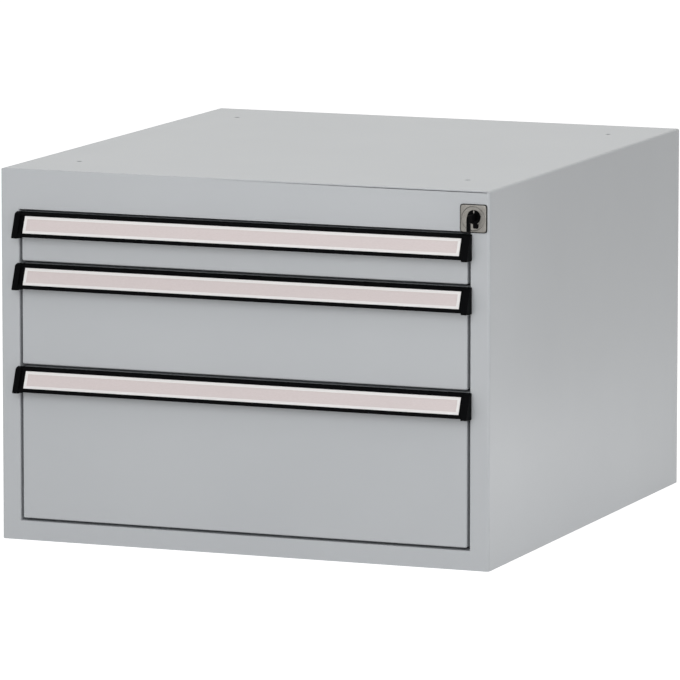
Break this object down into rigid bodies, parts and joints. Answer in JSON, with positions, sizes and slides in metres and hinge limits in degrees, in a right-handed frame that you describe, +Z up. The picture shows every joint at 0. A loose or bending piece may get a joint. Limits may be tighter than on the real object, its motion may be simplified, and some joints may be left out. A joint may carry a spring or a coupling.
{
  "type": "under-bench drawer unit",
  "caption": "Low steel cabinet with full-width handle strips on its stacked full-extension drawers and a key lock that bars them all, made to hang under a bench top.",
  "frame": {"origin": "centre of the casing's underside", "axes": "+X to the right as seen from the front, +Y from the front to the back, +Z up; drawers open towards -Y"},
  "size_m": [0.5, 0.5696, 0.36],
  "materials": {
    "grey_paint": "light grey powder coat, satin, fine orange peel",
    "zinc_steel": "bright zinc-plated steel",
    "nickel": "satin nickel plate",
    "black_profile": "extruded profile with a black satin coat",
    "black_plastic": "moulded black plastic, fine matt grain",
    "black_lock": "machined lock plug with a black face",
    "natural_plastic": "natural nylon",
    "label_card": "blank pale label strip"
  },
  "bodies": {
    "casing": {"left_side_panel": "grey_paint", "right_side_panel": "grey_paint", "top_panel": "grey_paint", "fascia_panel": "grey_paint", "bottom_rail": "grey_paint", "bottom_panel": "grey_paint", "back_panel": "grey_paint", "back_panel_rivets": "zinc_steel", "runner_uprights": "zinc_steel", "cabinet_members": "zinc_steel", "cabinet_member_rivets": "zinc_steel", "lock_rosette": "nickel", "lock_housing": "nickel", "lock_nut": "zinc_steel", "lock_bar_guides": "natural_plastic"},
    "lock_cylinder": {"lock_plug": "black_lock", "lock_cam": "zinc_steel", "key_blade": "nickel", "key_bow": "black_plastic"},
    "lock_rod": {"lock_bar": "zinc_steel", "lock_hooks": "zinc_steel"},
    "lower_drawer": {"lower_drawer_front": "grey_paint", "lower_drawer_tray": "grey_paint", "lower_drawer_tray_ends": "grey_paint", "lower_drawer_screws": "zinc_steel", "lower_drawer_rivets": "zinc_steel", "lower_drawer_lock_catch": "zinc_steel", "lower_drawer_runner_members": "zinc_steel", "lower_handle_rail": "black_profile", "lower_handle_caps": "black_plastic", "lower_label_strip": "label_card"},
    "lower_outer_ball_cages": {"lower_outer_ball_cages": "zinc_steel"},
    "lower_middle_members": {"lower_middle_members": "zinc_steel"},
    "lower_inner_ball_cages": {"lower_inner_ball_cages": "zinc_steel"},
    "middle_drawer": {"middle_drawer_front": "grey_paint", "middle_drawer_tray": "grey_paint", "middle_drawer_tray_ends": "grey_paint", "middle_drawer_screws": "zinc_steel", "middle_drawer_rivets": "zinc_steel", "middle_drawer_lock_catch": "zinc_steel", "middle_drawer_runner_members": "zinc_steel", "middle_handle_rail": "black_profile", "middle_handle_caps": "black_plastic", "middle_label_strip": "label_card"},
    "middle_outer_ball_cages": {"middle_outer_ball_cages": "zinc_steel"},
    "middle_middle_members": {"middle_middle_members": "zinc_steel"},
    "middle_inner_ball_cages": {"middle_inner_ball_cages": "zinc_steel"},
    "upper_drawer": {"upper_drawer_front": "grey_paint", "upper_drawer_tray": "grey_paint", "upper_drawer_tray_ends": "grey_paint", "upper_drawer_screws": "zinc_steel", "upper_drawer_rivets": "zinc_steel", "upper_drawer_lock_catch": "zinc_steel", "upper_drawer_runner_members": "zinc_steel", "upper_handle_rail": "black_profile", "upper_handle_caps": "black_plastic", "upper_label_strip": "label_card"},
    "upper_outer_ball_cages": {"upper_outer_ball_cages": "zinc_steel"},
    "upper_middle_members": {"upper_middle_members": "zinc_steel"},
    "upper_inner_ball_cages": {"upper_inner_ball_cages": "zinc_steel"}
  },
  "joints": [
    {"name": "lower_drawer_slide", "type": "slide", "parent": "casing", "child": "lower_drawer", "axis": [0, -1, 0], "range_m": [0, 0.45]},
    {"name": "lower_outer_ball_cages_slide", "type": "slide", "parent": "casing", "child": "lower_outer_ball_cages", "axis": [0, -1, 0], "range_m": [0, 0.1125]},
    {"name": "lower_middle_members_slide", "type": "slide", "parent": "casing", "child": "lower_middle_members", "axis": [0, -1, 0], "range_m": [0, 0.225]},
    {"name": "lower_inner_ball_cages_slide", "type": "slide", "parent": "casing", "child": "lower_inner_ball_cages", "axis": [0, -1, 0], "range_m": [0, 0.3375]},
    {"name": "middle_drawer_slide", "type": "slide", "parent": "casing", "child": "middle_drawer", "axis": [0, -1, 0], "range_m": [0, 0.45]},
    {"name": "middle_outer_ball_cages_slide", "type": "slide", "parent": "casing", "child": "middle_outer_ball_cages", "axis": [0, -1, 0], "range_m": [0, 0.1125]},
    {"name": "middle_middle_members_slide", "type": "slide", "parent": "casing", "child": "middle_middle_members", "axis": [0, -1, 0], "range_m": [0, 0.225]},
    {"name": "middle_inner_ball_cages_slide", "type": "slide", "parent": "casing", "child": "middle_inner_ball_cages", "axis": [0, -1, 0], "range_m": [0, 0.3375]},
    {"name": "upper_drawer_slide", "type": "slide", "parent": "casing", "child": "upper_drawer", "axis": [0, -1, 0], "range_m": [0, 0.45]},
    {"name": "upper_outer_ball_cages_slide", "type": "slide", "parent": "casing", "child": "upper_outer_ball_cages", "axis": [0, -1, 0], "range_m": [0, 0.1125]},
    {"name": "upper_middle_members_slide", "type": "slide", "parent": "casing", "child": "upper_middle_members", "axis": [0, -1, 0], "range_m": [0, 0.225]},
    {"name": "upper_inner_ball_cages_slide", "type": "slide", "parent": "casing", "child": "upper_inner_ball_cages", "axis": [0, -1, 0], "range_m": [0, 0.3375]},
    {"name": "lock_rod_slide", "type": "slide", "parent": "casing", "child": "lock_rod", "axis": [0, 0, 1], "range_m": [0, 0.00601]},
    {"name": "lock_turn", "type": "hinge", "parent": "casing", "child": "lock_cylinder", "pos_m": [0.235, -0.275, 0.3356], "axis": [0, -1, 0], "range_deg": [0, 90]}
  ],
  "couplings": [
    {"joint": "lower_outer_ball_cages_slide", "follows": "lower_drawer_slide", "ratio": 0.25},
    {"joint": "lower_middle_members_slide", "follows": "lower_drawer_slide", "ratio": 0.5},
    {"joint": "lower_inner_ball_cages_slide", "follows": "lower_drawer_slide", "ratio": 0.75},
    {"joint": "middle_outer_ball_cages_slide", "follows": "middle_drawer_slide", "ratio": 0.25},
    {"joint": "middle_middle_members_slide", "follows": "middle_drawer_slide", "ratio": 0.5},
    {"joint": "middle_inner_ball_cages_slide", "follows": "middle_drawer_slide", "ratio": 0.75},
    {"joint": "upper_outer_ball_cages_slide", "follows": "upper_drawer_slide", "ratio": 0.25},
    {"joint": "upper_middle_members_slide", "follows": "upper_drawer_slide", "ratio": 0.5},
    {"joint": "upper_inner_ball_cages_slide", "follows": "upper_drawer_slide", "ratio": 0.75},
    {"joint": "lock_turn", "follows": "lock_rod_slide", "rad_per_m": 261.34}
  ]
}
